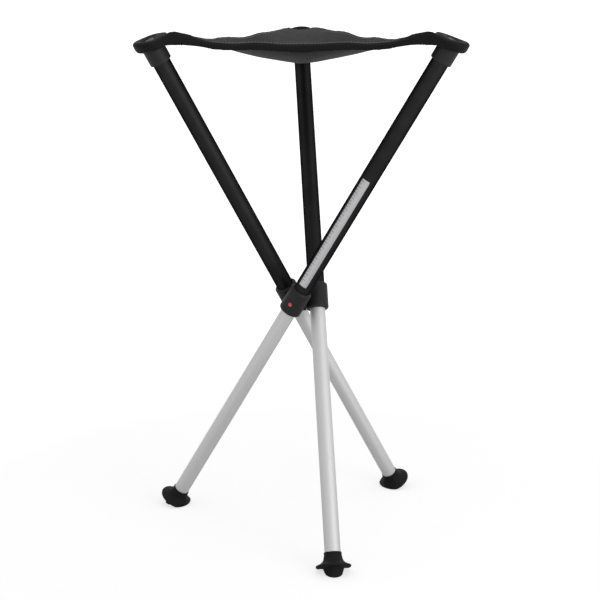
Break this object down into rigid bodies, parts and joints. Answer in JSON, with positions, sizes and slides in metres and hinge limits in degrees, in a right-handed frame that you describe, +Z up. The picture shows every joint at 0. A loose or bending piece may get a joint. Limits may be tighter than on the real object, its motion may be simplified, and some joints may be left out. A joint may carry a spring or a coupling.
{
  "type": "telescopic three-legged folding stool",
  "caption": "Folding stool with telescopic legs crossing at a central hub, a cloth sling seat, collars with push-button locks and rubber feet.",
  "frame": {"origin": "middle of the outline at floor level", "axes": "+Z up, -Y towards the front edge of the seat, +X to the right of that edge"},
  "size_m": [0.4584, 0.4925, 0.7651],
  "materials": {
    "satin_black_tube": "satin",
    "black_plastic": "satin",
    "red_plastic": "satin",
    "silver_tube": "satin anodised",
    "black_rubber": "matte",
    "black_cloth": "woven",
    "spring_steel": "satin",
    "silver_strip": "satin"
  },
  "bodies": {
    "hub": {"hub_core": "black_plastic", "pivot_pin_1": "spring_steel", "pivot_pin_2": "spring_steel", "pivot_pin_3": "spring_steel", "pivot_washer_1": "spring_steel", "pivot_washer_2": "spring_steel", "pivot_washer_3": "spring_steel"},
    "leg_1": {"outer_tube_1": "satin_black_tube", "top_cap_1": "black_plastic", "seat_plug_1": "black_plastic", "collar_1": "black_plastic", "seat_pocket_1": "black_cloth", "label_strip": "silver_strip"},
    "lower_leg_1": {"inner_tube_1": "silver_tube", "inner_bush_1": "black_plastic", "lock_spring_1": "spring_steel", "foot_1": "black_rubber"},
    "lock_button_1": {"button_1": "red_plastic"},
    "leg_2": {"outer_tube_2": "satin_black_tube", "top_cap_2": "black_plastic", "seat_plug_2": "black_plastic", "collar_2": "black_plastic", "seat_pocket_2": "black_cloth"},
    "lower_leg_2": {"inner_tube_2": "silver_tube", "inner_bush_2": "black_plastic", "lock_spring_2": "spring_steel", "foot_2": "black_rubber"},
    "lock_button_2": {"button_2": "red_plastic"},
    "leg_3": {"outer_tube_3": "satin_black_tube", "top_cap_3": "black_plastic", "seat_plug_3": "black_plastic", "collar_3": "black_plastic", "seat_pocket_3": "black_cloth"},
    "lower_leg_3": {"inner_tube_3": "silver_tube", "inner_bush_3": "black_plastic", "lock_spring_3": "spring_steel", "foot_3": "black_rubber"},
    "lock_button_3": {"button_3": "red_plastic"},
    "seat_1a": {"seat_cloth_1a": "black_cloth", "seat_hem_1a": "black_cloth"},
    "seat_1b": {"seat_cloth_1b": "black_cloth", "seat_hem_1b": "black_cloth"},
    "seat_2a": {"seat_cloth_2a": "black_cloth", "seat_hem_2a": "black_cloth"},
    "seat_2b": {"seat_cloth_2b": "black_cloth", "seat_hem_2b": "black_cloth"},
    "seat_3a": {"seat_cloth_3a": "black_cloth", "seat_hem_3a": "black_cloth"},
    "seat_3b": {"seat_cloth_3b": "black_cloth", "seat_hem_3b": "black_cloth"}
  },
  "joints": [
    {"name": "leg_1_fold", "type": "hinge", "parent": "hub", "child": "leg_1", "pos_m": [-0.01014, -0.03437, 0.3573], "axis": [-0.409, -0.9125, 0], "range_deg": [0, 28.42], "deforming": ["foot_1", "foot_2", "foot_3"]},
    {"name": "leg_1_slide", "type": "slide", "parent": "leg_1", "child": "lower_leg_1", "axis": [0.4757, -0.2132, 0.8534], "range_m": [0, 0.355], "deforming": ["lock_spring_1"]},
    {"name": "lock_button_1_press", "type": "slide", "parent": "leg_1", "child": "lock_button_1", "axis": [0.409, 0.9125, 0], "range_m": [0, 0.0021], "stiffness_N_per_m": 800, "springref_m": -0.002},
    {"name": "leg_2_fold", "type": "hinge", "parent": "hub", "child": "leg_2", "pos_m": [-0.01453, 0.00836, 0.3573], "axis": [-0.5858, 0.8105, 0], "range_deg": [0, 28.92]},
    {"name": "leg_2_slide", "type": "slide", "parent": "leg_2", "child": "lower_leg_2", "axis": [-0.4225, -0.3054, 0.8534], "range_m": [0, 0.355], "deforming": ["lock_spring_2"]},
    {"name": "lock_button_2_press", "type": "slide", "parent": "leg_2", "child": "lock_button_2", "axis": [0.5858, -0.8105, 0], "range_m": [0, 0.0021], "stiffness_N_per_m": 800, "springref_m": -0.002},
    {"name": "leg_3_fold", "type": "hinge", "parent": "hub", "child": "leg_3", "pos_m": [0.02467, -0.00921, 0.3573], "axis": [0.9948, 0.102, 0], "range_deg": [0, 28.92]},
    {"name": "leg_3_slide", "type": "slide", "parent": "leg_3", "child": "lower_leg_3", "axis": [-0.0532, 0.5186, 0.8534], "range_m": [0, 0.355], "deforming": ["lock_spring_3"]},
    {"name": "lock_button_3_press", "type": "slide", "parent": "leg_3", "child": "lock_button_3", "axis": [-0.9948, -0.102, 0], "range_m": [0, 0.0021], "stiffness_N_per_m": 800, "springref_m": -0.002},
    {"name": "seat_1a_fold", "type": "hinge", "parent": "leg_1", "child": "seat_1a", "pos_m": [0.21049, -0.13326, 0.75709], "axis": [-0.8629, -0.0122, -0.5051], "range_deg": [0, 86.92], "deforming": ["seat_cloth_1a", "seat_hem_1a"]},
    {"name": "seat_1b_fold", "type": "hinge", "parent": "leg_1", "child": "seat_1b", "pos_m": [0.21049, -0.13326, 0.75709], "axis": [-0.6231, -0.7645, -0.1652], "range_deg": [0, 48.58], "deforming": ["seat_cloth_1b", "seat_hem_1b"]},
    {"name": "seat_2a_fold", "type": "hinge", "parent": "leg_2", "child": "seat_2a", "pos_m": [-0.21049, -0.13326, 0.75709], "axis": [0.4209, 0.7534, -0.5051], "range_deg": [0, 86.92], "deforming": ["seat_cloth_2a", "seat_hem_2a"]},
    {"name": "seat_2b_fold", "type": "hinge", "parent": "leg_2", "child": "seat_2b", "pos_m": [-0.21049, -0.13326, 0.75709], "axis": [-0.3505, 0.9219, -0.1652], "range_deg": [0, 48.58], "deforming": ["seat_cloth_2b", "seat_hem_2b"]},
    {"name": "seat_3a_fold", "type": "hinge", "parent": "leg_3", "child": "seat_3a", "pos_m": [0, 0.23131, 0.75709], "axis": [0.442, -0.7413, -0.5051], "range_deg": [0, 86.92], "deforming": ["seat_cloth_3a", "seat_hem_3a"]},
    {"name": "seat_3b_fold", "type": "hinge", "parent": "leg_3", "child": "seat_3b", "pos_m": [0, 0.23131, 0.75709], "axis": [0.9736, -0.1574, -0.1652], "range_deg": [0, 48.58], "deforming": ["seat_cloth_3b", "seat_hem_3b"]}
  ],
  "couplings": [
    {"joint": "leg_2_fold", "follows": "leg_1_fold", "ratio": 1},
    {"joint": "leg_3_fold", "follows": "leg_1_fold", "ratio": 1},
    {"joint": "seat_1a_fold", "follows": "leg_1_fold", "ratio": 3.0233},
    {"joint": "seat_1b_fold", "follows": "leg_1_fold", "ratio": 1.6743},
    {"joint": "seat_2a_fold", "follows": "leg_1_fold", "ratio": 3.0233},
    {"joint": "seat_2b_fold", "follows": "leg_1_fold", "ratio": 1.6743},
    {"joint": "seat_3a_fold", "follows": "leg_1_fold", "ratio": 3.0233},
    {"joint": "seat_3b_fold", "follows": "leg_1_fold", "ratio": 1.6743}
  ]
}
